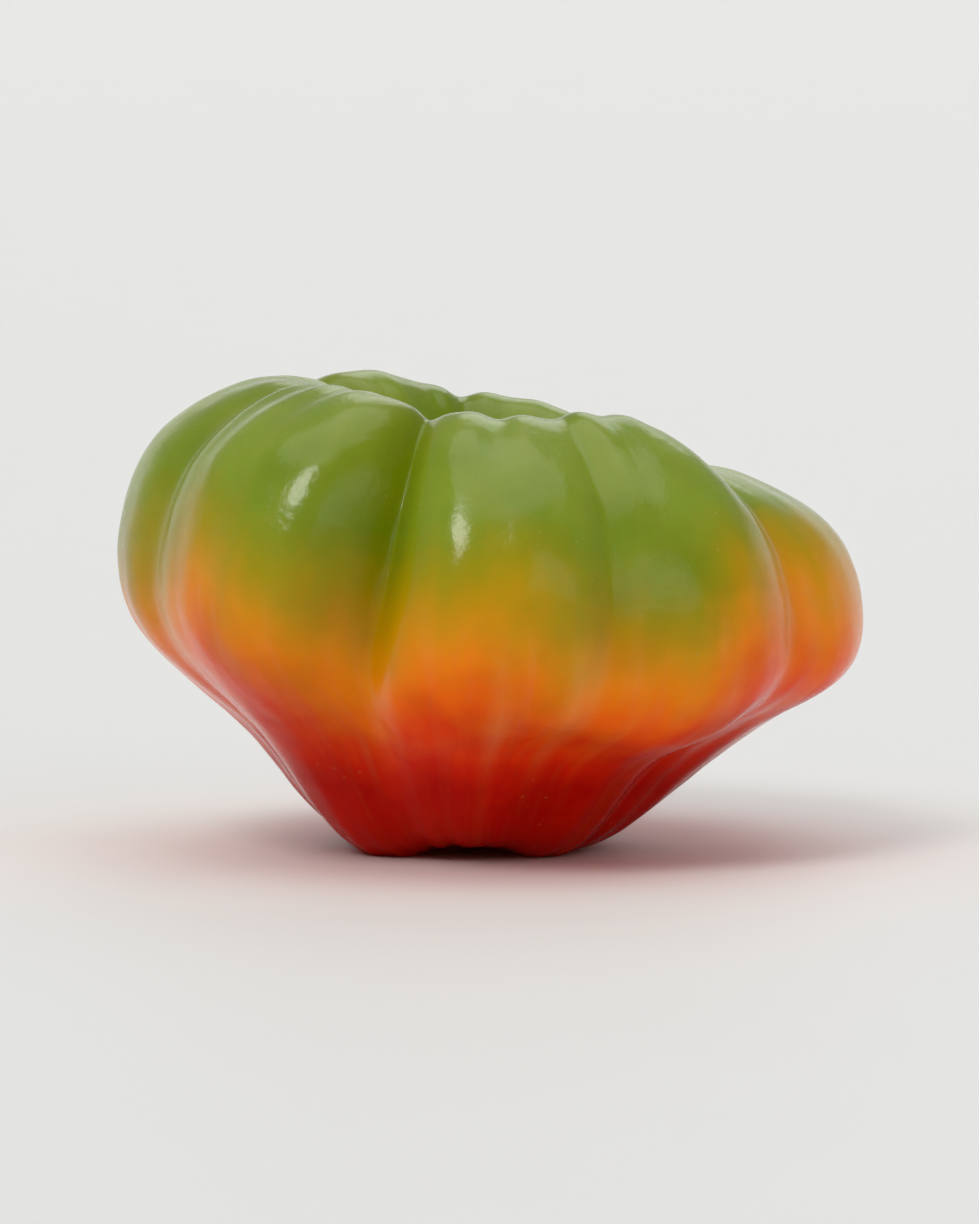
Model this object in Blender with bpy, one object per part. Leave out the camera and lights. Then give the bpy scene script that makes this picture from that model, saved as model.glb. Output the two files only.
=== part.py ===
"""An aji dulce pepper standing on its blossom end, stem end up.

The pepper is two pieces. The fruit is one lobed body, widest at a scalloped brim a little above its
middle, with a hollow on top and three low points underneath. The stem is a dried calyx with a short
pedicel hooked over towards the back, and it sits in the hollow.

Blender units are metres. Sizes below are written in millimetres and turned into metres by MM.
"""

from collections import namedtuple

import bmesh
import bpy
import numpy as np

MM = 0.001

# Driving sizes of the fruit, in millimetres. Heights count from the table up.
MEAN_REACH = 17.6
MEAN_BRIM = 12.9
MEAN_SHOULDER = 22.6
HOLLOW_DEPTH = 5.4
HOLLOW_RADIUS = 7.2
SEAT_RADIUS = 5.4
CROWN_SLOPE = -0.125
FOOT_AZIMUTHS = (80.0, 212.0, 314.0)
FOOT_SPREAD = 37.0
FOOT_DROP = 1.2
FOOT_FLAT = 0.22

# Driving sizes of the stem, in millimetres. It stands square to the hollow's floor, then hooks over.
SEAT_GAP = 0.3
STEM_AZIMUTH = 128.0
STEM_RISE = 0.5
HOOK_RADIUS = 2.2
HOOK_ANGLE = 105.0
STEM_TAIL = 1.5
CALYX_RADIUS = 3.4
CALYX_THICKNESS = 0.8
CALYX_TEETH = 5
TOOTH_DEPTH = 0.10
PEDICEL_RADIUS = 1.1
PEDICEL_END_RADIUS = 1.35
PEDICEL_RIDGE = 0.05

# Mesh fineness.
FRUIT_SEGMENTS = 96
FRUIT_RINGS = 42
STEM_SEGMENTS = 30
STEM_RINGS = 30

# One lobe runs from its groove counter-clockwise to the next lobe's groove. Azimuth 0 is +X and 90 is +Y.
# A groove's depth is that at the brim, its notch is that on the crown and its crease is that below the
# brim, in millimetres. Reach, brim and shoulder are departures from the mean sizes.
Lobe = namedtuple("Lobe", "groove depth notch crease reach brim shoulder")
LOBES = (
    Lobe(groove=14, depth=1.9, notch=1.1, crease=0.9, reach=-0.9, brim=0.6, shoulder=-2.4),
    Lobe(groove=58, depth=1.4, notch=0.8, crease=0.8, reach=-0.6, brim=0.9, shoulder=-0.2),
    Lobe(groove=100, depth=1.7, notch=0.4, crease=0.9, reach=-0.2, brim=0.4, shoulder=0.4),
    Lobe(groove=148, depth=2.2, notch=1.3, crease=1.1, reach=0.9, brim=0.4, shoulder=0.0),
    Lobe(groove=197, depth=0.9, notch=0.7, crease=0.5, reach=0.0, brim=0.5, shoulder=0.3),
    Lobe(groove=246, depth=3.8, notch=1.2, crease=0.4, reach=-0.5, brim=-0.2, shoulder=0.2),
    Lobe(groove=287, depth=1.1, notch=0.3, crease=0.4, reach=-0.2, brim=0.2, shoulder=0.7),
    Lobe(groove=326, depth=1.1, notch=1.5, crease=0.5, reach=0.1, brim=1.5, shoulder=-2.1),
)
CREST_ROUNDNESS = 2.8


def lobe_state(azimuth, softness=0.0):
    """The surface's lobe values at each azimuth in degrees: how deep its groove is there at the brim, on the
    crown and below the brim, and the reach, brim height and shoulder height, blended from lobe to lobe.
    A lobe falls away from its crest as a power of the distance, and softness rounds the groove's bottom."""
    grooves = np.array([lobe.groove for lobe in LOBES], float)
    widths = np.diff(np.append(grooves, grooves[0] + 360))
    turned = (azimuth - grooves[0]) % 360 + grooves[0]
    index = np.searchsorted(grooves, turned, side="right") - 1
    along = (turned - grooves[index]) / widths[index]

    fall = np.abs(2 * along - 1) ** CREST_ROUNDNESS
    rise = 1 - fall
    rounded = np.sqrt(rise**2 + softness**2) - softness * fall
    below = 1 - rounded - rise * (1 - np.hypot(1, softness))

    blend = along * along * (3 - 2 * along)

    def cut(values):
        values = np.array(values)
        return below * (values[index] + (values[(index + 1) % len(LOBES)] - values[index]) * blend)

    centres = grooves + widths / 2
    from_centre = (azimuth - centres[0]) % 360 + centres[0]
    before = np.searchsorted(centres, from_centre, side="right") - 1
    after = (before + 1) % len(LOBES)
    span = (centres[after] - centres[before]) % 360
    share = (1 - np.cos(np.pi * (from_centre - centres[before]) / span)) / 2

    def blended(values):
        values = np.array(values)
        return values[before] + (values[after] - values[before]) * share

    reach = MEAN_REACH + blended([lobe.reach for lobe in LOBES])
    brim = MEAN_BRIM + blended([lobe.brim for lobe in LOBES])
    shoulder = MEAN_SHOULDER + blended([lobe.shoulder for lobe in LOBES])
    depth = cut([lobe.depth for lobe in LOBES])
    notch = cut([lobe.notch for lobe in LOBES])
    crease = cut([lobe.crease for lobe in LOBES])
    return depth, notch, crease, reach, brim, shoulder


def foot_share(azimuth):
    """1 over a foot and 0 between feet, as three bell curves round the axis."""
    total = 0
    for foot in FOOT_AZIMUTHS:
        away = (azimuth - foot + 180) % 360 - 180
        total = total + np.exp(-((away / FOOT_SPREAD) ** 2))
    return total


# Per control ring: how far a groove wanders there in degrees, how soft its bottom is, the shares of the
# groove's depth, notch and crease that it takes, the way that it is pulled (outwards, upwards), how much of
# the crown's slope it has, and how many millimetres its centre lies towards -X.
Ring = namedtuple("Ring", "wander softness depth notch crease outwards upwards slope lean")
RINGS = (
    Ring(0, 0.60, 0.00, 0.00, 0.00, 0.0, 0.0, 0.00, 1.3),
    Ring(0, 0.60, 0.00, 0.00, 0.00, 0.0, 0.0, 0.00, 1.3),
    Ring(1, 0.60, 0.00, 0.00, 0.35, 0.0, 1.0, 0.00, 1.3),
    Ring(2, 0.60, 0.00, 0.00, 0.60, -0.6, 0.8, 0.05, 1.3),
    Ring(3, 0.60, 0.00, 0.00, 0.80, -0.9, 0.4, 0.15, 1.2),
    Ring(3, 0.50, 0.00, 0.00, 1.00, -0.9, 0.4, 0.35, 0.9),
    Ring(2, 0.40, 0.25, 0.00, 0.60, -0.8, 0.6, 0.60, 0.4),
    Ring(0, 0.45, 0.80, 0.00, 0.00, -1.0, 0.2, 0.85, 0.1),
    Ring(-2, 0.40, 1.10, 0.00, 0.00, -1.0, -0.1, 1.00, 0.0),
    Ring(-3, 0.30, 0.90, 0.00, 0.00, -0.8, -0.6, 1.00, 0.0),
    Ring(-2, 0.15, 0.00, 0.65, 0.00, -0.2, -1.0, 1.00, 0.0),
    Ring(0, 0.15, 0.00, 0.90, 0.00, 0.3, -1.0, 1.00, 0.0),
    Ring(2, 0.15, 0.00, 0.60, 0.00, 1.0, 0.0, 1.00, 0.0),
    Ring(0, 0.15, 0.00, 0.00, 0.00, 0.0, 0.0, 1.00, 0.0),
    Ring(0, 0.15, 0.00, 0.00, 0.00, 0.0, 0.0, 1.00, 0.0),
)


def ring_outline(azimuth):
    """Radius and height of every control ring over a crest at these azimuths, blossom end first."""
    reach, brim, shoulder = lobe_state(azimuth)[3:]
    foot = FOOT_DROP * (1 - foot_share(azimuth))
    same = np.ones_like(azimuth)
    seat = (MEAN_SHOULDER - HOLLOW_DEPTH) * same
    return (
        (0 * same, 1.5 * same),
        (2.4 * same, 1.5 * same),
        (4.2 * same, foot - 0.6),
        (7.0 * same, foot / 2 + 0.1),
        (9.5 * same, 2.5 * same),
        (11.9 * same, 5.6 * same),
        (reach - 2.0, brim - 5.6),
        (reach + 1.4, brim - 3.0),
        (reach + 0.9, brim + 2.6),
        (reach - 1.6, (brim + shoulder) / 2 + 2.5),
        (reach - 7.4, shoulder + 1.0),
        (HOLLOW_RADIUS * same, shoulder - 1.3),
        (SEAT_RADIUS * same, seat),
        (SEAT_RADIUS / 2 * same, seat),
        (0 * same, seat),
    )


def fruit_surface(azimuth, along):
    """Points of the skin, in millimetres. azimuth is in degrees; along runs from 0 at the blossom end's
    centre to 1 at the stem end's. Each meridian is a uniform cubic B-spline through the control rings,
    mirrored across the axis at both ends, so that the poles are smooth."""
    radii, heights = [], []
    for number, ring in enumerate(RINGS):
        radius, height = ring_outline(azimuth + ring.wander)[number]
        depth, notch, crease = lobe_state(azimuth + ring.wander, ring.softness)[:3]
        pull = depth * ring.depth + notch * ring.notch + crease * ring.crease
        radius = radius + pull * ring.outwards
        height = height + pull * ring.upwards
        height = height + ring.slope * CROWN_SLOPE * radius * np.cos(np.radians(azimuth))
        radii.append(radius)
        heights.append(height)
    radii = np.stack([-radii[1], *radii, -radii[-2]])
    heights = np.stack([heights[1], *heights, heights[-2]])
    leans = [ring.lean for ring in RINGS]
    leans = np.array([leans[1], *leans, leans[-2]])

    spans = len(RINGS) - 1
    start = np.clip((along * spans).astype(int), 0, spans - 1)
    u = along * spans - start
    weights = (
        (1 - u) ** 3 / 6,
        (3 * u**3 - 6 * u**2 + 4) / 6,
        (-3 * u**3 + 3 * u**2 + 3 * u + 1) / 6,
        u**3 / 6,
    )
    column = np.arange(len(azimuth))
    radius = sum(w * radii[start + k, column] for k, w in enumerate(weights))
    height = sum(w * heights[start + k, column] for k, w in enumerate(weights))
    lean = sum(w * leans[start + k] for k, w in enumerate(weights))
    turn = np.radians(azimuth)
    return np.stack([radius * np.cos(turn) - lean, radius * np.sin(turn), height], axis=1)


def hook_place(distance):
    """The stem's centre line in its own plane: how far over and how far up it is after this distance, and
    its direction from upright in radians. It rises straight, follows a round hook, then runs straight."""
    hook_length = HOOK_RADIUS * np.radians(HOOK_ANGLE)
    bend = np.clip(distance - STEM_RISE, 0, hook_length) / HOOK_RADIUS
    straight = np.minimum(distance, STEM_RISE)
    tail = np.maximum(distance - STEM_RISE - hook_length, 0)
    over = HOOK_RADIUS * (1 - np.cos(bend)) + tail * np.sin(bend)
    up = straight + HOOK_RADIUS * np.sin(bend) + tail * np.cos(bend)
    return over, up, bend


def stem_surface(azimuth, along):
    """Points of the stem, in millimetres, from the middle of the hollow's floor. along runs from 0 at the
    calyx's underside to 1 at the cut end. Rings of a changing radius are carried along the hook; the
    calyx's edge waves out into teeth, and the pedicel has low ridges."""
    length = STEM_RISE + HOOK_RADIUS * np.radians(HOOK_ANGLE) + STEM_TAIL
    neck = CALYX_THICKNESS + 0.6
    profile = (
        (0, 0, 0),
        (0, CALYX_RADIUS - 0.3, 1),
        (CALYX_THICKNESS / 2, CALYX_RADIUS, 1),
        (CALYX_THICKNESS, CALYX_RADIUS - 0.5, 1),
        (neck, PEDICEL_RADIUS + 0.5, 0),
        (neck + 0.9, PEDICEL_RADIUS, 0),
        (length - 1.6, PEDICEL_RADIUS, 0),
        (length - 0.3, PEDICEL_END_RADIUS, 0),
        (length, PEDICEL_END_RADIUS - 0.2, 0),
        (length, 0, 0),
    )
    ring_share = (0, 0.1, 0.15, 0.2, 0.3, 0.4, 0.75, 0.88, 0.93, 1)
    distance, radius, tooth = (np.interp(along, ring_share, column) for column in zip(*profile))
    around = np.radians(azimuth)
    radius = radius * (1 + TOOTH_DEPTH * tooth * np.cos(CALYX_TEETH * around))
    radius = radius * (1 + PEDICEL_RIDGE * (1 - tooth) * np.cos(CALYX_TEETH * around))

    over, up, bend = hook_place(distance)
    over = over + radius * np.cos(around) * np.cos(bend)
    up = up - radius * np.cos(around) * np.sin(bend)
    aside = radius * np.sin(around)

    floor_normal = np.array([-CROWN_SLOPE, 0, 1]) / np.hypot(CROWN_SLOPE, 1)
    turn = np.radians(STEM_AZIMUTH)
    over_way = np.array([np.cos(turn), np.sin(turn), 0])
    over_way = over_way - floor_normal * (over_way @ floor_normal)
    over_way = over_way / np.linalg.norm(over_way)
    aside_way = np.cross(floor_normal, over_way)
    base = floor_normal * SEAT_GAP
    return base + np.outer(over, over_way) + np.outer(aside, aside_way) + np.outer(up, floor_normal)


def sphere_angles(mesh):
    """Azimuth in degrees and place from the bottom pole (0) to the top one (1) of a unit sphere's points."""
    points = np.empty(len(mesh.vertices) * 3)
    mesh.vertices.foreach_get("co", points)
    points = points.reshape(-1, 3)
    azimuth = np.degrees(np.arctan2(points[:, 1], points[:, 0]))
    along = 1 - np.arccos(np.clip(points[:, 2], -1, 1)) / np.pi
    return azimuth, along


def warped_sphere(name, segments, rings, surface):
    """A mesh object made from Blender's UV sphere, with its points laid on a surface in millimetres."""
    mesh = bpy.data.meshes.new(name)
    shape = bmesh.new()
    bmesh.ops.create_uvsphere(shape, u_segments=segments, v_segments=rings, radius=1)
    shape.to_mesh(mesh)
    shape.free()
    points = surface(*sphere_angles(mesh))
    mesh.vertices.foreach_set("co", (points * MM).ravel())
    mesh.shade_smooth()
    return bpy.data.objects.new(name, mesh)


def material(name, colour, roughness):
    made = bpy.data.materials.new(name)
    made.use_nodes = True
    shader = made.node_tree.nodes["Principled BSDF"]
    shader.inputs["Base Color"].default_value = (*colour, 1)
    shader.inputs["Roughness"].default_value = roughness
    shader.inputs["Metallic"].default_value = 0
    return made


def settle_shift():
    """How far the grown shape moves to stand on the table with its box centred on the origin."""
    azimuth, along = np.meshgrid(np.arange(0, 360, 1.0), np.linspace(0, 1, 200))
    points = fruit_surface(azimuth.ravel(), along.ravel())
    low, high = points.min(axis=0), points.max(axis=0)
    middle = (low + high) / 2
    return np.array([-middle[0], -middle[1], -low[2] - FOOT_FLAT])


def make_fruit(shift):
    """The fruit, let down onto the table until its three low points are pressed flat."""

    def standing(azimuth, along):
        points = fruit_surface(azimuth, along) + shift
        points[:, 2] = np.maximum(points[:, 2], 0)
        return points

    fruit = warped_sphere("fruit", FRUIT_SEGMENTS, FRUIT_RINGS, standing)
    fruit.data.materials.append(material("pepper_skin", (0.55, 0.16, 0.02), 0.3))
    return fruit


def make_stem(shift):
    """The calyx and pedicel, on the middle of the hollow's floor."""
    floor = np.array([0, 0, MEAN_SHOULDER - HOLLOW_DEPTH])

    def seated(azimuth, along):
        return stem_surface(azimuth, along) + floor + shift

    stem = warped_sphere("stem", STEM_SEGMENTS, STEM_RINGS, seated)
    stem.data.materials.append(material("dried_stem", (0.33, 0.27, 0.15), 0.75))
    return stem


def main():
    for old in list(bpy.data.objects):
        bpy.data.objects.remove(old)
    pepper = bpy.data.collections.new("aji_dulce_pepper")
    bpy.context.scene.collection.children.link(pepper)
    shift = settle_shift()
    pepper.objects.link(make_fruit(shift))
    pepper.objects.link(make_stem(shift))


main()
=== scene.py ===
"""The looks of an aji dulce pepper: half ripe, green on its lobed shoulders, amber at the brim and red
below, standing on its blossom end on a pale table. Sizes are in millimetres until they reach a mesh."""

import math

import bpy
import numpy as np
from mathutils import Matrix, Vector


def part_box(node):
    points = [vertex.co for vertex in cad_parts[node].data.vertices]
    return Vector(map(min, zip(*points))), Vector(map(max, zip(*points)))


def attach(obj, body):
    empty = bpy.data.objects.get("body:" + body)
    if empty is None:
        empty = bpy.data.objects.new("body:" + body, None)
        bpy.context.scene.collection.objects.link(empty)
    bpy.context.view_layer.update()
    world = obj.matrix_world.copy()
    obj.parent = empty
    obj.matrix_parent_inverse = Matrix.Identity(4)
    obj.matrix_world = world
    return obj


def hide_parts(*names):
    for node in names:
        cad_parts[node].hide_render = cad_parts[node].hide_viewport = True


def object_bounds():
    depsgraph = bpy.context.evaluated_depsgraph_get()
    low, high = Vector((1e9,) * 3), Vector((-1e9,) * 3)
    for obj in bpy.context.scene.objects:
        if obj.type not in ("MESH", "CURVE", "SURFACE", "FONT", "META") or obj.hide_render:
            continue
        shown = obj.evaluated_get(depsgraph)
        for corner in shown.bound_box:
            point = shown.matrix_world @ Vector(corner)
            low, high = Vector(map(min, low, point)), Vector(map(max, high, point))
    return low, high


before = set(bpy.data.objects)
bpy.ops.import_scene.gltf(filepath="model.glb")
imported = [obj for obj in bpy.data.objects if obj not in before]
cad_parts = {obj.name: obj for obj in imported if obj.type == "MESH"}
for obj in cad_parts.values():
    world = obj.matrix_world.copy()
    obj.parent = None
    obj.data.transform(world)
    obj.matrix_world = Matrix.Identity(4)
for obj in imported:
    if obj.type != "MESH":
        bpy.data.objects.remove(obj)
cad_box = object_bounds()

# The fruit
# One lobed berry with a thin waxy skin. Eight lobes meet in grooves that run from the hollow round the stem
# to the blossom end, and the skin turns from green to red from the blossom end upwards.

MM = 0.001

# The crown falls towards +X by this slope. The blossom end stands on three low swellings, its feet, at these
# azimuths in degrees, and the table presses them flat.
CROWN_SLOPE = -0.125
SEAT_HEIGHT = 17.2
FEET = (80.0, 212.0, 314.0)
FOOT_SPREAD = 37.0
FOOT_DROP = 1.2
FOOT_FLAT = 0.22
LOBE_ROUNDNESS = 2.8

# A row is one lobe: its groove's azimuth, the groove's depth at the brim, on the crown and below the brim,
# then the lobe's reach from the axis, brim height and shoulder height.
LOBES = np.array((
    (14, 1.9, 1.1, 0.9, 16.7, 13.5, 20.2),
    (58, 1.4, 0.8, 0.8, 17.0, 13.8, 22.4),
    (100, 1.7, 0.4, 0.9, 17.4, 13.3, 23.0),
    (148, 2.2, 1.3, 1.1, 18.5, 13.3, 22.6),
    (197, 0.9, 0.7, 0.5, 17.6, 13.4, 22.9),
    (246, 3.8, 1.2, 0.4, 17.1, 12.7, 22.8),
    (287, 1.1, 0.3, 0.4, 17.4, 13.1, 23.3),
    (326, 1.1, 1.5, 0.5, 17.7, 14.4, 20.5),
), float)

# A row is one control ring from the blossom end up: the groove's wander in degrees, its softness, the shares
# of its depth at the brim, on the crown and below the brim, the pull outwards and upwards, the share of the
# crown's slope, and the lean towards -X.
RINGS = (
    (0, 0.6, 0.00, 0.00, 0.00, 0.0, 0.0, 0.00, 1.3),
    (0, 0.6, 0.00, 0.00, 0.00, 0.0, 0.0, 0.00, 1.3),
    (1, 0.6, 0.00, 0.00, 0.35, 0.0, 1.0, 0.00, 1.3),
    (2, 0.6, 0.00, 0.00, 0.60, -0.6, 0.8, 0.05, 1.3),
    (3, 0.6, 0.00, 0.00, 0.80, -0.9, 0.4, 0.15, 1.2),
    (3, 0.5, 0.00, 0.00, 1.00, -0.9, 0.4, 0.35, 0.9),
    (2, 0.4, 0.25, 0.00, 0.60, -0.8, 0.6, 0.60, 0.4),
    (0, 0.45, 0.80, 0.00, 0.00, -1.0, 0.2, 0.85, 0.1),
    (-2, 0.4, 1.10, 0.00, 0.00, -1.0, -0.1, 1.00, 0.0),
    (-3, 0.3, 0.90, 0.00, 0.00, -0.8, -0.6, 1.00, 0.0),
    (-2, 0.15, 0.00, 0.65, 0.00, -0.2, -1.0, 1.00, 0.0),
    (0, 0.15, 0.00, 0.90, 0.00, 0.3, -1.0, 1.00, 0.0),
    (2, 0.15, 0.00, 0.60, 0.00, 1.0, 0.0, 1.00, 0.0),
    (0, 0.15, 0.00, 0.00, 0.00, 0.0, 0.0, 1.00, 0.0),
    (0, 0.15, 0.00, 0.00, 0.00, 0.0, 0.0, 1.00, 0.0),
)


def lobe_state(azimuth, softness):
    """How far the skin lies below its lobe's crest (0 crest, 1 groove), then the groove's three depths there,
    then reach, brim and shoulder. A lobe's cross-section falls away as a power of the distance from its
    crest, and softness rounds the groove's bottom; depths blend from groove to groove and sizes from crest
    to crest."""
    grooves = LOBES[:, 0]
    widths = np.diff(np.append(grooves, grooves[0] + 360))
    turned = (azimuth - grooves[0]) % 360 + grooves[0]
    index = np.searchsorted(grooves, turned, side="right") - 1
    after = (index + 1) % len(LOBES)
    along = (turned - grooves[index]) / widths[index]
    fall = np.abs(2 * along - 1) ** LOBE_ROUNDNESS
    below = 1 - (np.sqrt((1 - fall) ** 2 + softness**2) - softness * fall)
    below = below - (1 - fall) * (1 - math.hypot(1, softness))
    blend = along * along * (3 - 2 * along)
    cuts = [below * (LOBES[index, k] + (LOBES[after, k] - LOBES[index, k]) * blend) for k in (1, 2, 3)]

    centres = grooves + widths / 2
    from_centre = (azimuth - centres[0]) % 360 + centres[0]
    before = np.searchsorted(centres, from_centre, side="right") - 1
    after = (before + 1) % len(LOBES)
    span = (centres[after] - centres[before]) % 360
    share = (1 - np.cos(np.pi * (from_centre - centres[before]) / span)) / 2
    sizes = [LOBES[before, k] + (LOBES[after, k] - LOBES[before, k]) * share for k in (4, 5, 6)]
    return (below, *cuts, *sizes)


def foot_gap(azimuth):
    """How far up the blossom end's rim is: 0 over a foot, and between feet the foot's whole drop, less the
    bell curves of the feet beside it."""
    away = (azimuth - np.array(FEET)[:, None] + 180) % 360 - 180
    return FOOT_DROP * (1 - np.exp(-((away / FOOT_SPREAD) ** 2)).sum(axis=0))


def control_rings(azimuth):
    """Radius, height and lean of every control ring at these azimuths, as arrays of rings by azimuths. The
    table's pull moves a crest's point into its groove, and the crown's slope shears the upper rings."""
    radii, heights, leans = [], [], []
    for number, (wander, softness, *shares, outwards, upwards, slope, lean) in enumerate(RINGS):
        below, *cuts, reach, brim, shoulder = lobe_state(azimuth + wander, softness)
        foot = foot_gap(azimuth + wander)
        # The lobe's crest at this ring: its radius and its height.
        crest = (
            (0, 1.5),
            (2.4, 1.5),
            (4.2, foot - 0.6),
            (7.0, foot / 2 + 0.1),
            (9.5, 2.5),
            (11.9, 5.6),
            (reach - 2.0, brim - 5.6),
            (reach + 1.4, brim - 3.0),
            (reach + 0.9, brim + 2.6),
            (reach - 1.6, (brim + shoulder) / 2 + 2.5),
            (reach - 7.4, shoulder + 1.0),
            (7.2, shoulder - 1.3),
            (5.4, SEAT_HEIGHT),
            (2.7, SEAT_HEIGHT),
            (0, SEAT_HEIGHT),
        )[number]
        pull = sum(cut * share for cut, share in zip(cuts, shares))
        radius = crest[0] + pull * outwards
        radii.append(radius)
        heights.append(crest[1] + pull * upwards + slope * CROWN_SLOPE * radius * np.cos(np.radians(azimuth)))
        leans.append(lean + 0 * azimuth)
    return np.array(radii), np.array(heights), np.array(leans)


def spline_shares(along, controls):
    """Rows of B-spline weights: a place along the curve, from 0 to 1, is a mix of four control points out
    of the list, which has one mirrored point added at each end."""
    spans = controls - 1
    start = np.clip((along * spans).astype(int), 0, spans - 1)
    u = along * spans - start
    cubics = np.stack([
        (1 - u) ** 3,
        3 * u**3 - 6 * u**2 + 4,
        -3 * u**3 + 3 * u**2 + 3 * u + 1,
        u**3,
    ]) / 6
    shares = np.zeros((len(along), controls + 2))
    for k in range(4):
        shares[np.arange(len(along)), start + k] = cubics[k]
    return shares


def grown_skin(azimuth, along):
    """The fruit's smooth skin as an array of along by azimuth by XYZ. Each meridian is a uniform cubic
    B-spline through the control rings, mirrored across the axis at both poles."""
    radii, heights, leans = control_rings(azimuth)
    shares = spline_shares(along, len(RINGS))
    radius = shares @ np.vstack([-radii[1], radii, -radii[-2]])
    height = shares @ np.vstack([heights[1], heights, heights[-2]])
    lean = shares @ np.vstack([leans[1], leans, leans[-2]])
    turn = np.radians(azimuth)
    return np.stack([radius * np.cos(turn) - lean, radius * np.sin(turn), height], axis=2)


def ripple(points, strength, wavelength, waves, seed):
    """Seeded noise with this strength as its root mean square: a sum of plane waves of one length and of
    random directions and starts."""
    draw = np.random.default_rng(seed)
    ways = draw.normal(size=(waves, 3))
    ways /= np.linalg.norm(ways, axis=1)[:, None]
    starts = draw.uniform(0, 2 * np.pi, waves)
    total = np.zeros(points.shape[:-1])
    for way, start in zip(ways, starts):
        total += np.sin(points @ way * (2 * np.pi / wavelength) + start)
    return strength * total / math.sqrt(waves / 2)


def ease(start, end, value):
    """0 up to start, 1 from end on, and a smooth S between them. start may be the greater."""
    t = np.clip((value - start) / (end - start), 0, 1)
    return t * t * (3 - 2 * t)


def closed_normals(surface):
    """Outward unit normals of a grid that closes round its second axis: the cross product of the differences
    between neighbours round and up. Each pole takes the sum of the ring next to it."""
    round_way = np.roll(surface, -1, axis=1) - np.roll(surface, 1, axis=1)
    up_way = np.gradient(surface, axis=0)
    normals = np.cross(round_way, up_way)
    normals[0] = normals[1].sum(axis=0)
    normals[-1] = normals[-2].sum(axis=0)
    return normals / np.linalg.norm(normals, axis=2)[:, :, None]


def pole_grid_mesh(name, surface, layers):
    """A closed mesh from a grid whose first and last rows are poles: one point at each pole, triangles
    round it and quads between. layers are values or vectors on the grid that become point attributes."""
    rows, columns = surface.shape[:2]
    inner = surface[1:-1].reshape(-1, 3)
    points = np.vstack([surface[0].mean(axis=0), inner, surface[-1].mean(axis=0)]) * MM
    here = np.arange(columns)
    after = (here + 1) % columns
    top = len(points) - 1
    ring = 1 + (rows - 3) * columns
    first = np.stack([0 * here, after + 1, here + 1], axis=1)
    last = np.stack([ring + here, ring + after, top + 0 * here], axis=1)
    lower = 1 + np.arange(rows - 3)[:, None] * columns
    upper = lower + columns
    quads = np.stack([lower + here, lower + after, upper + after, upper + here], axis=2)
    mesh = bpy.data.meshes.new(name)
    mesh.from_pydata(points, [], first.tolist() + quads.reshape(-1, 4).tolist() + last.tolist())
    for layer, grid in layers.items():
        poles = grid[:1].mean(axis=1), grid[-1:].mean(axis=1)
        values = np.concatenate([poles[0], grid[1:-1].reshape(-1, *grid.shape[2:]), poles[1]])
        kind, field = ("FLOAT", "value") if grid.ndim == 2 else ("FLOAT_VECTOR", "vector")
        mesh.attributes.new(layer, kind, "POINT").data.foreach_set(field, values.ravel())
    mesh.shade_smooth()
    piece = bpy.data.objects.new(name, mesh)
    bpy.context.scene.collection.objects.link(piece)
    return piece


FRUIT_COLUMNS = 420
FRUIT_ROWS = 230

azimuth = np.arange(FRUIT_COLUMNS) * 360 / FRUIT_COLUMNS
along = np.linspace(0, 1, FRUIT_ROWS)
skin = grown_skin(azimuth, along)
fruit_low, fruit_high = (np.array(corner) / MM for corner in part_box("fruit"))
middle = (skin.reshape(-1, 3).min(axis=0) + skin.reshape(-1, 3).max(axis=0)) / 2
stand = np.array([*((fruit_low + fruit_high)[:2] / 2 - middle[:2]), -skin[:, :, 2].min() - FOOT_FLAT])
skin = skin + stand

# Ribs, pleats and streaks run along the meridians, because their noise is drawn on a drum round the fruit
# whose height is squeezed. A layer of noise is its strength, its wavelength in millimetres, how many waves
# make it, and its seed.
DRUM_RADIUS = 17
DRUM_SQUEEZE = 0.12
SWELLS = (0.10, 8.0, 26, 3)
SWELL_SQUEEZE = (1, 1, 0.55)
RIBS = (0.03, 2.8, 30, 7)
PEBBLES = (0.008, 1.9, 60, 5)
PLEATS = (0.06, 3.4, 24, 11)
TIP_NUB = 0.35

# Where things start and end on a meridian, as shares of its length from the blossom end. Each is a place
# where the thing is 0 and one where it is 1.
TIP_EDGE = (0, 0.08)
NUB_EDGE = (0.04, 0.01)
SCAR_EDGE = (0.055, 0.015)
CROWN_START = (0.62, 0.74)
CROWN_END = (0.94, 0.86)
FLOOR_EDGE = (1, 0.88)
HOLLOW_START = (0.62, 0.72)
COLLAR_START = (0.80, 0.90)

turn = np.radians(azimuth)
drum = np.empty(skin.shape)
drum[:, :, 0] = DRUM_RADIUS * np.cos(turn)
drum[:, :, 1] = DRUM_RADIUS * np.sin(turn)
drum[:, :, 2] = DRUM_SQUEEZE * skin[:, :, 2]
share = np.broadcast_to(along[:, None], skin.shape[:2])

relief = ripple(skin * np.array(SWELL_SQUEEZE), *SWELLS) + ripple(drum, *RIBS) + ripple(skin, *PEBBLES)
relief = relief + ease(*CROWN_START, share) * ease(*CROWN_END, share) * ripple(drum, *PLEATS)
relief = relief * ease(*TIP_EDGE, share) * ease(*FLOOR_EDGE, share) + TIP_NUB * ease(*NUB_EDGE, share)
skin = skin + closed_normals(skin) * relief[:, :, None]
skin[:, :, 2] = np.maximum(skin[:, :, 2], 0)

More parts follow.
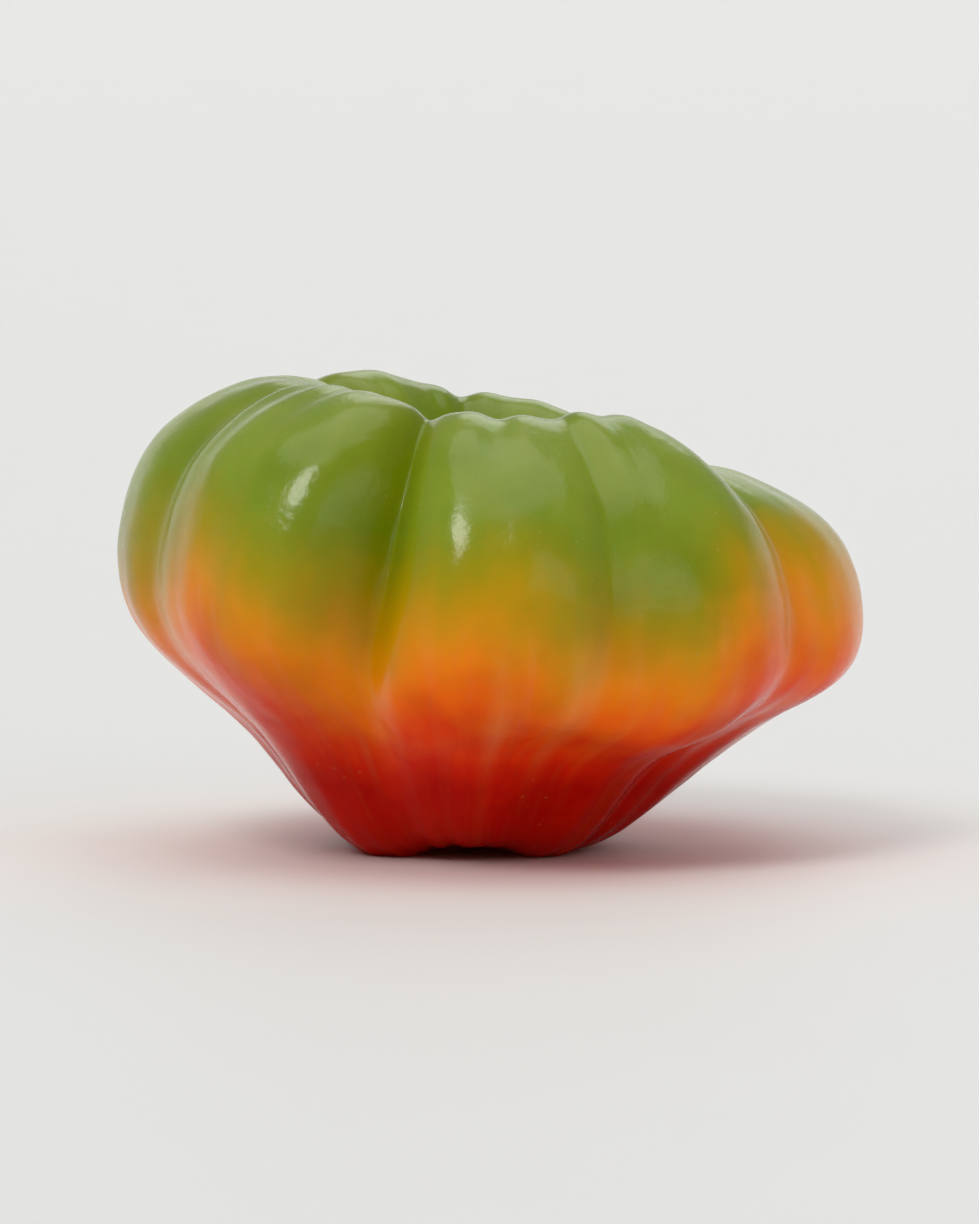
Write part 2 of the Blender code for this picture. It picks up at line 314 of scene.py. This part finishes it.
# A row is one tongue of colour: its azimuth, its half width in degrees, and how far up, in millimetres,
# ripening runs ahead there, or down where it lags.
TONGUES = (
    (188, 9, 1.2),
    (211, 13, 2.8),
    (228, 8, 0.6),
    (272, 8, 0.9),
    (285, 8, -0.3),
    (299, 8, -1.7),
    (314, 8, 1.5),
    (327, 11, 2.2),
    (348, 12, 2.0),
    (22, 12, -0.8),
    (52, 12, 1.4),
    (85, 9, -1.3),
    (120, 12, 1.6),
    (158, 12, -0.8),
)

# Heights above the table where the skin is fully ripe and fully green, and where tongues, unevenness and the
# painted shade in the valleys start and are whole.
RIPE_HEIGHT = 3.9
GREEN_HEIGHT = 18.0
TONGUE_START = (5, 9.5)
UNEVEN_START = (5, 9)
VALLEY_SHADE_START = (8.5, 12.5)

# Noise that makes the ripening uneven, the share of it that is left near the table, how many millimetres
# valleys and the hollow lag behind, and streaks of painted sheen with the values of their noise that they
# start from.
STREAKS = (0.25, 2.6, 30, 21)
BROAD_STREAKS = (0.25, 5.5, 20, 22)
BLOTCHES = (0.35, 7.0, 24, 23)
UNEVEN_BELOW = 0.35
VALLEY_LAG = 0.6
VALLEY_SOFTNESS = 0.3
HOLLOW_LAG = 9
SHEEN_STREAKS = (1, 3.2, 30, 25)
SHEEN_STREAK_EDGE = (0.4, 1.8)

height = skin[:, :, 2]
valley = np.broadcast_to(lobe_state(azimuth, VALLEY_SOFTNESS)[1] / LOBES[:, 1].max(), height.shape)
ahead = 0 * azimuth
for place, width, lift in TONGUES:
    ahead = ahead + lift * np.exp(-(((azimuth - place + 180) % 360 - 180) / width) ** 2)
uneven = ripple(drum, *STREAKS) + ripple(drum, *BROAD_STREAKS) + ripple(skin, *BLOTCHES)
uneven = uneven * (UNEVEN_BELOW + (1 - UNEVEN_BELOW) * ease(*UNEVEN_START, height))
lag = VALLEY_LAG * valley + HOLLOW_LAG * ease(*HOLLOW_START, share)
unripe_height = height - ahead * ease(*TONGUE_START, height) - uneven + lag

fruit = pole_grid_mesh("pepper_fruit", skin, {
    "ripeness": np.interp(unripe_height, (RIPE_HEIGHT, GREEN_HEIGHT), (1, 0)),
    # Where the painted shade of the grooves falls: deepest in the deepest grooves, and only above the brim.
    "valley": valley * ease(*VALLEY_SHADE_START, height),
    # Where broad streaks of painted sheen fall.
    "streak": ease(*SHEEN_STREAK_EDGE, ripple(drum, *SHEEN_STREAKS)),
    "scar": ease(*SCAR_EDGE, share),
    "collar": ease(*COLLAR_START, share),
    "drum": drum * MM,
})


class Link:
    """A value in a material's nodes. Sums, differences and products of links add the Math nodes for them."""

    def __init__(self, tree, socket=None):
        self.tree = tree
        self.socket = socket

    def node(self, kind, settings, inputs, output=0):
        """Adds a node, makes its settings, fills its inputs with values or links, and returns an output. A
        ramp's setting named stops is a list of places and colours."""
        made = self.tree.nodes.new(kind)
        for name, value in settings.items():
            if name != "stops":
                setattr(made, name, value)
                continue
            stops = made.color_ramp.elements
            while len(stops) < len(value):
                stops.new(0.5)
            for stop, (place, colour) in zip(stops, value):
                stop.position = place
                stop.color = colour
        for name, value in inputs.items():
            if isinstance(value, Link):
                self.tree.links.new(value.socket, made.inputs[name])
            else:
                made.inputs[name].default_value = value
        return Link(self.tree, made.outputs[output])

    def maths(self, operation, first, second):
        return self.node("ShaderNodeMath", {"operation": operation}, {0: first, 1: second})

    def __add__(self, other):
        return self.maths("ADD", self, other)

    def __mul__(self, other):
        return self.maths("MULTIPLY", self, other)

    def __sub__(self, other):
        return self.maths("SUBTRACT", self, other)

    def __rsub__(self, other):
        return self.maths("SUBTRACT", other, self)

    __radd__ = __add__
    __rmul__ = __mul__


def attribute(link, name, output="Fac"):
    """A mesh's own point values, by name, or with the output Vector its point vectors."""
    return link.node("ShaderNodeAttribute", {"attribute_name": name}, {}, output)


def grain(link, scale, detail, place=None):
    """Noise that sits still on the piece, from 0 to 1. scale counts its grains in a metre."""
    place = place or link.node("ShaderNodeTexCoord", {}, {}, "Object")
    return link.node("ShaderNodeTexNoise", {}, {"Vector": place, "Scale": scale, "Detail": detail})


def ramped(link, value, start, end):
    """0 up to start, 1 from end on, and even between. start may be the greater."""
    return link.node("ShaderNodeMapRange", {}, {"Value": value, "From Min": start, "From Max": end})


def mixed(link, factor, first, second, blend="MIX"):
    """Two colours mixed by a factor."""
    settings = {"data_type": "RGBA", "blend_type": blend}
    return link.node("ShaderNodeMix", settings, {"Factor": factor, 6: first, 7: second}, 2)


def seen(red, green, blue):
    """A colour given as a picture shows it, 0 to 255, in the linear values that shaders take."""
    parts = [part / 255 for part in (red, green, blue)]
    return (*[p / 12.92 if p <= 0.04045 else ((p + 0.055) / 1.055) ** 2.4 for p in parts], 1)


def finish(name, constants, varying):
    """A Principled material. constants are its sockets' values; varying works out links for the others."""
    made = bpy.data.materials.new(name)
    made.use_nodes = True
    shader = made.node_tree.nodes["Principled BSDF"]
    for socket, value in constants.items():
        shader.inputs[socket].default_value = value
    for socket, value in varying(Link(made.node_tree)).items():
        made.node_tree.links.new(value.socket, shader.inputs[socket])
    return made


# Colours from green to ripe, and what tints or covers them. The valley tint is painted shade in the grooves,
# and the pale streak colour is painted sheen.
RIPENING = (
    (0.00, seen(134, 153, 60)),
    (0.11, seen(142, 148, 50)),
    (0.22, seen(162, 147, 38)),
    (0.33, seen(188, 145, 28)),
    (0.44, seen(217, 142, 22)),
    (0.56, seen(240, 131, 16)),
    (0.67, seen(246, 106, 8)),
    (0.78, seen(236, 66, 3)),
    (0.89, seen(214, 30, 1)),
    (1.00, seen(184, 8, 1)),
)
GROOVE_PAINTED_SHADE = seen(222, 218, 160)
SHADE_TINT = seen(216, 224, 200)
PAINTED_SHEEN = seen(248, 206, 150)
FLECK = seen(236, 226, 170)
COLLAR = seen(160, 170, 84)
SCAR = seen(136, 96, 56)

# Grains in a metre.
FIBRES = 1000
FIBRE_SQUEEZE = (1, 1, 1.6)
MOTTLE = 420
SHADES = 150
FLECKS = 1100
FLECK_FIELDS = 260
PORES = 2600
DIMPLES = 900

# How far the grains move the stage of ripening, where their marks start and are whole, and how much of each
# mark's colour shows.
MOTTLE_SHIFT = 0.14
FIBRE_SHIFT = 0.10
SHADE_EDGE = (0.45, 0.7)
SHADE_DEPTH = 0.7
TURNING_START = (0.3, 0.5)
TURNING_END = (0.95, 0.75)
FIBRE_EDGE = (0.5, 0.75)
FINE_SHARE = 0.6
BROAD_SHARE = 0.7
# How much of the painted sheen shows everywhere, and how much more where the skin turns from amber to red.
SHEEN_DEPTH = 0.03
TURNING_SHEEN_DEPTH = 0.15
FLECK_EDGE = (0.13, 0.05)
FLECK_FIELD_EDGE = (0.5, 0.62)
FLECK_DEPTH = 0.08
COLLAR_DEPTH = 0.5
SCAR_RAGGEDNESS = 1.2
SCAR_FADE = (0.4, 0.7)

# The gloss is roughest where mottle and fibres are, and the relief is a mix of pores, dimples and fibres.
SMOOTHEST = 0.14
MOTTLE_ROUGHNESS = 0.10
FIBRE_ROUGHNESS = 0.06
RELIEF_DEPTH = 0.07 * MM
PORE_RELIEF = 0.25
DIMPLE_RELIEF = 0.6
FIBRE_RELIEF = 0.4


def waxy_skin(link):
    """Ripening colours by height, with fine mottling, faint fibres along the meridians, pale streaks of
    painted sheen along them and a few pale flecks. The valleys are darkened with painted shade, the collar
    round the stem is pale, and the tip has a brown scar. Fibres, dimples and pores also break up the gloss."""
    drum = attribute(link, "drum", "Vector")
    drum = link.node("ShaderNodeMapping", {}, {"Vector": drum, "Scale": FIBRE_SQUEEZE})
    fibres = grain(link, FIBRES, 4, drum)
    mottle = grain(link, MOTTLE, 4)
    stage = attribute(link, "ripeness")
    ripe = stage + (mottle - 0.5) * MOTTLE_SHIFT + (fibres - 0.5) * FIBRE_SHIFT
    colour = link.node("ShaderNodeValToRGB", {"stops": RIPENING}, {"Fac": ripe})
    # Painted shade: the grooves are darkened towards olive, most in the deepest grooves.
    painted_groove_shade = mixed(link, 1.0, colour, GROOVE_PAINTED_SHADE, "MULTIPLY")
    colour = mixed(link, attribute(link, "valley"), colour, painted_groove_shade)
    shade = mixed(link, 1.0, colour, SHADE_TINT, "MULTIPLY")
    colour = mixed(link, ramped(link, grain(link, SHADES, 3), *SHADE_EDGE) * SHADE_DEPTH, colour, shade)
    turning = ramped(link, stage, *TURNING_START) * ramped(link, stage, *TURNING_END)
    # Painted sheen: pale peach streaks along the fibres and broad ribs, strongest where the skin turns.
    sheen_streaks = ramped(link, fibres, *FIBRE_EDGE) * FINE_SHARE + attribute(link, "streak") * BROAD_SHARE
    colour = mixed(link, sheen_streaks * (turning * TURNING_SHEEN_DEPTH + SHEEN_DEPTH), colour, PAINTED_SHEEN)
    place = link.node("ShaderNodeTexCoord", {}, {}, "Object")
    cells = link.node("ShaderNodeTexVoronoi", {}, {"Vector": place, "Scale": FLECKS}, "Distance")
    fields = ramped(link, grain(link, FLECK_FIELDS, 2), *FLECK_FIELD_EDGE)
    colour = mixed(link, ramped(link, cells, *FLECK_EDGE) * fields * FLECK_DEPTH, colour, FLECK)
    colour = mixed(link, attribute(link, "collar") * COLLAR_DEPTH, colour, COLLAR)
    scar = ramped(link, attribute(link, "scar") + (mottle - 0.5) * SCAR_RAGGEDNESS, *SCAR_FADE)
    colour = mixed(link, scar, colour, SCAR)
    height = grain(link, PORES, 2) * PORE_RELIEF + grain(link, DIMPLES, 3) * DIMPLE_RELIEF
    height = height + fibres * FIBRE_RELIEF
    return {
        "Base Color": colour,
        "Roughness": mottle * MOTTLE_ROUGHNESS + fibres * FIBRE_ROUGHNESS + SMOOTHEST,
        "Normal": link.node("ShaderNodeBump", {}, {
            "Strength": 0.8,
            "Distance": RELIEF_DEPTH,
            "Height": height,
        }),
    }


fruit.data.materials.append(finish("waxy_pepper_skin", {
    "Subsurface Weight": 0.12,
    "Subsurface Radius": (1.0, 0.4, 0.1),
    "Subsurface Scale": 0.001,
    "Coat Weight": 0.12,
    "Coat Roughness": 0.12,
    "IOR": 1.46,
}, waxy_skin))
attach(fruit, "root")
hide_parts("fruit")

# The stem
# A small five-toothed calyx, grown onto the floor of the hollow, and a dried pedicel that hooks over. It
# was cut when the pepper was picked, so it ends in a swollen knuckle with pale pith.

STEM_AZIMUTH = 128.0
STEM_RISE = 0.5
HOOK_RADIUS = 2.2
HOOK_ANGLE = 105.0
STEM_TAIL = 1.5
STEM_LENGTH = STEM_RISE + HOOK_RADIUS * math.radians(HOOK_ANGLE) + STEM_TAIL
SEAT_GAP = 0.3
NECK = 1.4
CALYX_RADIUS = 3.4
CALYX_TEETH = 5
TOOTH_REACH = 0.30
TOOTH_CUT = 0.06
TOOTH_POINT = 1.7
VEIN_WIDTH = 0.22
VEIN_HEIGHT = 0.16
VEIN_START = (0.12, 0.2)
CALYX_LIFT = 0.11
LIFT_START = (0.1, 0.16)
PEDICEL_RADIUS = 1.1
PEDICEL_END_RADIUS = 1.35
STEM_COLUMNS = 150
STEM_ROWS = 240

# A row is one ring: its share of the rows, its distance along the centre line, its radius, and how much of
# the calyx's teeth and of the pedicel's dried folds it has.
STEM_PROFILE = (
    (0.00, -0.30, 0.0, 0, 0),
    (0.08, -0.30, CALYX_RADIUS - 0.25, 1, 0),
    (0.11, -0.12, CALYX_RADIUS, 1, 0),
    (0.13, 0.10, CALYX_RADIUS - 0.05, 1, 0),
    (0.20, 0.50, CALYX_RADIUS - 0.8, 0.7, 0.2),
    (0.26, 0.78, CALYX_RADIUS - 1.5, 0.3, 0.4),
    (0.29, 0.95, PEDICEL_RADIUS + 0.62, 0, 0.4),
    (0.32, 1.15, PEDICEL_RADIUS + 0.44, 0, 0.5),
    (0.35, NECK, PEDICEL_RADIUS + 0.30, 0, 0.7),
    (0.40, NECK + 0.7, PEDICEL_RADIUS - 0.02, 0, 1),
    (0.66, STEM_LENGTH - 1.9, PEDICEL_RADIUS - 0.05, 0, 1),
    (0.78, STEM_LENGTH - 0.7, PEDICEL_END_RADIUS - 0.15, 0, 1),
    (0.84, STEM_LENGTH - 0.2, PEDICEL_END_RADIUS, 0, 0.8),
    (0.87, STEM_LENGTH, PEDICEL_END_RADIUS - 0.12, 0, 0.6),
    (0.90, STEM_LENGTH, PEDICEL_END_RADIUS - 0.4, 0, 0.3),
    (0.93, STEM_LENGTH - 0.15, PEDICEL_END_RADIUS - 0.6, 0, 0.2),
    (1.00, STEM_LENGTH - 0.25, 0.0, 0, 0),
)
CUT_FACE = (0.88, 1.0)

# The noise on the stem is drawn on a straightened copy of it, which its twist turns slowly.
STRAIGHT_RADIUS = 1.2
STRAIGHT_SQUEEZE = 0.16
TWIST = 0.12
FOLDS = (0.11, 1.5, 14, 41)
FINE_FOLDS = (0.045, 0.55, 24, 42)
RAGGED_EDGE = (0.10, 2.2, 12, 43)
RAGGED_STRETCH = (2.6, 2.6, 0)
WRINKLES = (0.012, 0.9, 40, 31)
FINE_WRINKLES = (0.008, 0.35, 40, 32)
WRINKLE_START = (0, 0.1)


def hook_place(distance):
    """The stem's centre line: it rises straight, follows a round hook, then runs straight. Returns how far
    over and up it is, and its direction from upright in radians."""
    hook_length = HOOK_RADIUS * np.radians(HOOK_ANGLE)
    bend = np.clip(distance - STEM_RISE, 0, hook_length) / HOOK_RADIUS
    tail = np.maximum(distance - STEM_RISE - hook_length, 0)
    over = HOOK_RADIUS * (1 - np.cos(bend)) + tail * np.sin(bend)
    up = np.minimum(distance, STEM_RISE) + HOOK_RADIUS * np.sin(bend) + tail * np.cos(bend)
    return over, up, bend


def dried_stem(azimuth, along):
    """The stem as an array of along by azimuth by XYZ, from the middle of the hollow's floor, and its
    straightened points, for what runs along it. Rings of a changing radius follow the hook. The calyx's edge
    runs out into points, a vein rises to each, and folds run along the pedicel where it has dried."""
    place_along, *columns = zip(*STEM_PROFILE)
    distance, radius, tooth, ridge = (np.interp(along, place_along, column)[:, None] for column in columns)
    around = np.radians(azimuth)[None, :]
    from_tooth = np.sin(CALYX_TEETH * around / 2)
    point = (1 - np.abs(from_tooth)) ** TOOTH_POINT
    vein = np.exp(-((from_tooth / VEIN_WIDTH) ** 2))
    twist = around + TWIST * distance
    out = STRAIGHT_RADIUS * np.interp(along, CUT_FACE, (1, 0))[:, None]
    upright = STRAIGHT_SQUEEZE * distance + 0 * around
    straight = np.stack([out * np.cos(twist), out * np.sin(twist), upright], axis=2)
    folds = ripple(straight, *FOLDS) + ripple(straight, *FINE_FOLDS)
    ragged = ripple(straight * np.array(RAGGED_STRETCH), *RAGGED_EDGE)
    radius = radius * (1 + tooth * (TOOTH_REACH * point - TOOTH_CUT)) + ridge * folds + tooth * ragged

    over, up, bend = hook_place(distance)
    veins = VEIN_HEIGHT * vein * ease(*VEIN_START, along)[:, None]
    up = up + tooth * (veins + CALYX_LIFT * ease(*LIFT_START, along)[:, None])
    over = over + radius * np.cos(around) * np.cos(bend)
    up = up - radius * np.cos(around) * np.sin(bend)
    aside = radius * np.sin(around)

    floor_normal = np.array([-CROWN_SLOPE, 0, 1]) / math.hypot(CROWN_SLOPE, 1)
    turn = math.radians(STEM_AZIMUTH)
    over_way = np.array([math.cos(turn), math.sin(turn), 0])
    over_way = over_way - floor_normal * (over_way @ floor_normal)
    over_way = over_way / np.linalg.norm(over_way)
    aside_way = np.cross(floor_normal, over_way)
    ways = (over, over_way), (aside, aside_way), (up, floor_normal)
    return floor_normal * SEAT_GAP + sum(value[:, :, None] * way for value, way in ways), straight


azimuth = np.arange(STEM_COLUMNS) * 360 / STEM_COLUMNS
along = np.linspace(0, 1, STEM_ROWS)
stalk, straight = dried_stem(azimuth, along)
stalk = stalk + stand + np.array([0, 0, SEAT_HEIGHT])
share = np.broadcast_to(along[:, None], stalk.shape[:2])
wrinkles = (ripple(stalk, *WRINKLES) + ripple(stalk, *FINE_WRINKLES)) * ease(*WRINKLE_START, share)
stalk = stalk + closed_normals(stalk) * wrinkles[:, :, None]
stem = pole_grid_mesh("pepper_stem", stalk, {"along": share, "straight": straight * MM})

# Colours from the calyx's underside to the cut end, and the streaks over them.
STALK = (
    (0.00, seen(120, 104, 64)),
    (0.12, seen(132, 112, 70)),
    (0.17, seen(138, 136, 82)),
    (0.30, seen(150, 146, 92)),
    (0.36, seen(190, 176, 132)),
    (0.72, seen(196, 180, 140)),
    (0.82, seen(150, 130, 96)),
    (0.88, seen(98, 80, 56)),
    (0.92, seen(196, 182, 146)),
    (0.98, seen(170, 150, 112)),
)
DARK_STREAK = seen(104, 88, 58)
STRAW_STREAK = seen(226, 212, 174)
STALK_PATCHES = 900
PATCH_SHIFT = 0.08
STALK_FIBRES = 1600
DARK_EDGE = (0.48, 0.68)
DARK_DEPTH = 0.75
STRAW_EDGE = (0.46, 0.3)
STRAW_DEPTH = 0.5
STALK_PORES = 5000
STALK_SMOOTHEST = 0.6
STALK_FIBRE_ROUGHNESS = 0.2
STALK_RELIEF_DEPTH = 0.12 * MM
STALK_FIBRE_RELIEF = 0.7
STALK_PORE_RELIEF = 0.3


def dried_stalk(link):
    """Dull olive at the calyx, straw along the pedicel with brown streaks, and a dark rim round the pith."""
    place = attribute(link, "along") + (grain(link, STALK_PATCHES, 3) - 0.5) * PATCH_SHIFT
    colour = link.node("ShaderNodeValToRGB", {"stops": STALK}, {"Fac": place})
    streak = grain(link, STALK_FIBRES, 5, attribute(link, "straight", "Vector"))
    colour = mixed(link, ramped(link, streak, *DARK_EDGE) * DARK_DEPTH, colour, DARK_STREAK)
    colour = mixed(link, ramped(link, streak, *STRAW_EDGE) * STRAW_DEPTH, colour, STRAW_STREAK)
    height = streak * STALK_FIBRE_RELIEF + grain(link, STALK_PORES, 3) * STALK_PORE_RELIEF
    return {
        "Base Color": colour,
        "Roughness": streak * STALK_FIBRE_ROUGHNESS + STALK_SMOOTHEST,
        "Normal": link.node("ShaderNodeBump", {}, {
            "Strength": 0.7,
            "Distance": STALK_RELIEF_DEPTH,
            "Height": height,
        }),
    }


stem.data.materials.append(finish("dried_pedicel", {"IOR": 1.4}, dried_stalk))
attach(stem, "root")
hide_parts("stem")

# The table
# A plain pale sheet that lies flat under the pepper and curves up all round it.

TABLE_RADIUS = 1200.0
SWEEP_RADIUS = 1000.0
SWEEP_RISE = 80.0
TABLE_COLUMNS = 96
FLAT_ROWS = 8
SWEEP_ROWS = 23
SHEET = seen(236, 235, 231)
SHEET_GRAIN = seen(222, 221, 216)
SHEET_GRAINS = 60
GRAIN_DEPTH = 0.12


def round_sheet():
    """The table as rings of points: evenly spaced and flat, then up an arc, where the radius grows by the
    sine of the angle climbed and the height by one less its cosine."""
    rise = np.radians(np.linspace(0, SWEEP_RISE, SWEEP_ROWS + 1))[1:]
    flat = np.linspace(TABLE_RADIUS / FLAT_ROWS, TABLE_RADIUS, FLAT_ROWS)
    radius = np.concatenate([flat, TABLE_RADIUS + SWEEP_RADIUS * np.sin(rise)])[:, None]
    height = np.concatenate([0 * flat, SWEEP_RADIUS * (1 - np.cos(rise))])[:, None]
    turn = np.arange(TABLE_COLUMNS) * 2 * np.pi / TABLE_COLUMNS
    return np.stack([radius * np.cos(turn), radius * np.sin(turn), height + 0 * turn], axis=2)


def pale_sheet(link):
    """A pale warm grey with a barely seen grain."""
    return {"Base Color": mixed(link, grain(link, SHEET_GRAINS, 4) * GRAIN_DEPTH, SHEET, SHEET_GRAIN)}


here = np.arange(TABLE_COLUMNS)
after = (here + 1) % TABLE_COLUMNS
inner = np.arange(FLAT_ROWS + SWEEP_ROWS - 1)[:, None] * TABLE_COLUMNS
outer = inner + TABLE_COLUMNS
bands = np.stack([inner + here, outer + here, outer + after, inner + after], axis=2)
sheet = bpy.data.meshes.new("table")
sheet.from_pydata(round_sheet().reshape(-1, 3) * MM, [], [here.tolist()] + bands.reshape(-1, 4).tolist())
sheet.shade_smooth()
sheet.materials.append(finish("pale_table", {"Roughness": 0.55, "IOR": 1.4}, pale_sheet))
table = bpy.data.objects.new("table", sheet)
bpy.context.scene.collection.objects.link(table)

# The light
# Soft studio light: a wide window above and to the left, a weaker one in front on the right, one from the
# back and one from the ceiling, in a pale room.

# A row is one light: its name, the way to it, how many degrees of the room it fills, what falls from it on
# a sheet held square to it, and its colour.
LIGHTS = (
    ("ceiling", (0, 0, 1.0), 62, 0.86, (1, 1, 1)),
    ("window", (-0.38, -0.55, 0.75), 22, 0.95, (1, 0.98, 0.95)),
    ("fill", (0.50, -0.80, 0.30), 44, 0.45, (0.95, 0.98, 1)),
    ("back", (0.15, 0.80, 0.60), 28, 0.22, (1, 1, 1)),
)
ROOM_COLOUR = (0.9, 0.93, 1, 1)
ROOM_STRENGTH = 0.44

for name, way, spread, power, colour in LIGHTS:
    lamp = bpy.data.lights.new(name, "SUN")
    lamp.energy = power
    lamp.angle = math.radians(spread)
    lamp.color = colour
    light = bpy.data.objects.new(name, lamp)
    light.location = way
    light.rotation_euler = (-Vector(way)).to_track_quat("-Z", "Y").to_euler()
    bpy.context.scene.collection.objects.link(light)

room = bpy.data.worlds.new("room")
room.use_nodes = True
room.node_tree.nodes["Background"].inputs["Color"].default_value = ROOM_COLOUR
room.node_tree.nodes["Background"].inputs["Strength"].default_value = ROOM_STRENGTH
bpy.context.scene.world = room
bpy.context.scene.view_settings.view_transform = "Khronos PBR Neutral"

# The camera
# It looks at the pepper's side from a little above, as the photo does, through a long lens. The sensor's
# width lies along the frame's height, which is its longer side.

FRAME_WIDTH = 979
FRAME_HEIGHT = 1224
SENSOR = 36.0
CAMERA_DISTANCE = 0.42
CAMERA_ELEVATION = math.radians(5)
PEPPER_SHARE = 0.76

lens = bpy.data.cameras.new("camera")
lens.sensor_width = SENSOR
seen_width = (cad_box[1][0] - cad_box[0][0]) / PEPPER_SHARE
lens.lens = SENSOR * FRAME_WIDTH / FRAME_HEIGHT * CAMERA_DISTANCE / seen_width
camera = bpy.data.objects.new("camera", lens)
target = Vector(((cad_box[0][0] + cad_box[1][0]) / 2, 0, (cad_box[0][2] + cad_box[1][2]) / 2))
back = Vector((0, -math.cos(CAMERA_ELEVATION), math.sin(CAMERA_ELEVATION)))
camera.location = target + back * CAMERA_DISTANCE
camera.rotation_euler = (-back).to_track_quat("-Z", "Y").to_euler()
bpy.context.scene.collection.objects.link(camera)
bpy.context.scene.camera = camera
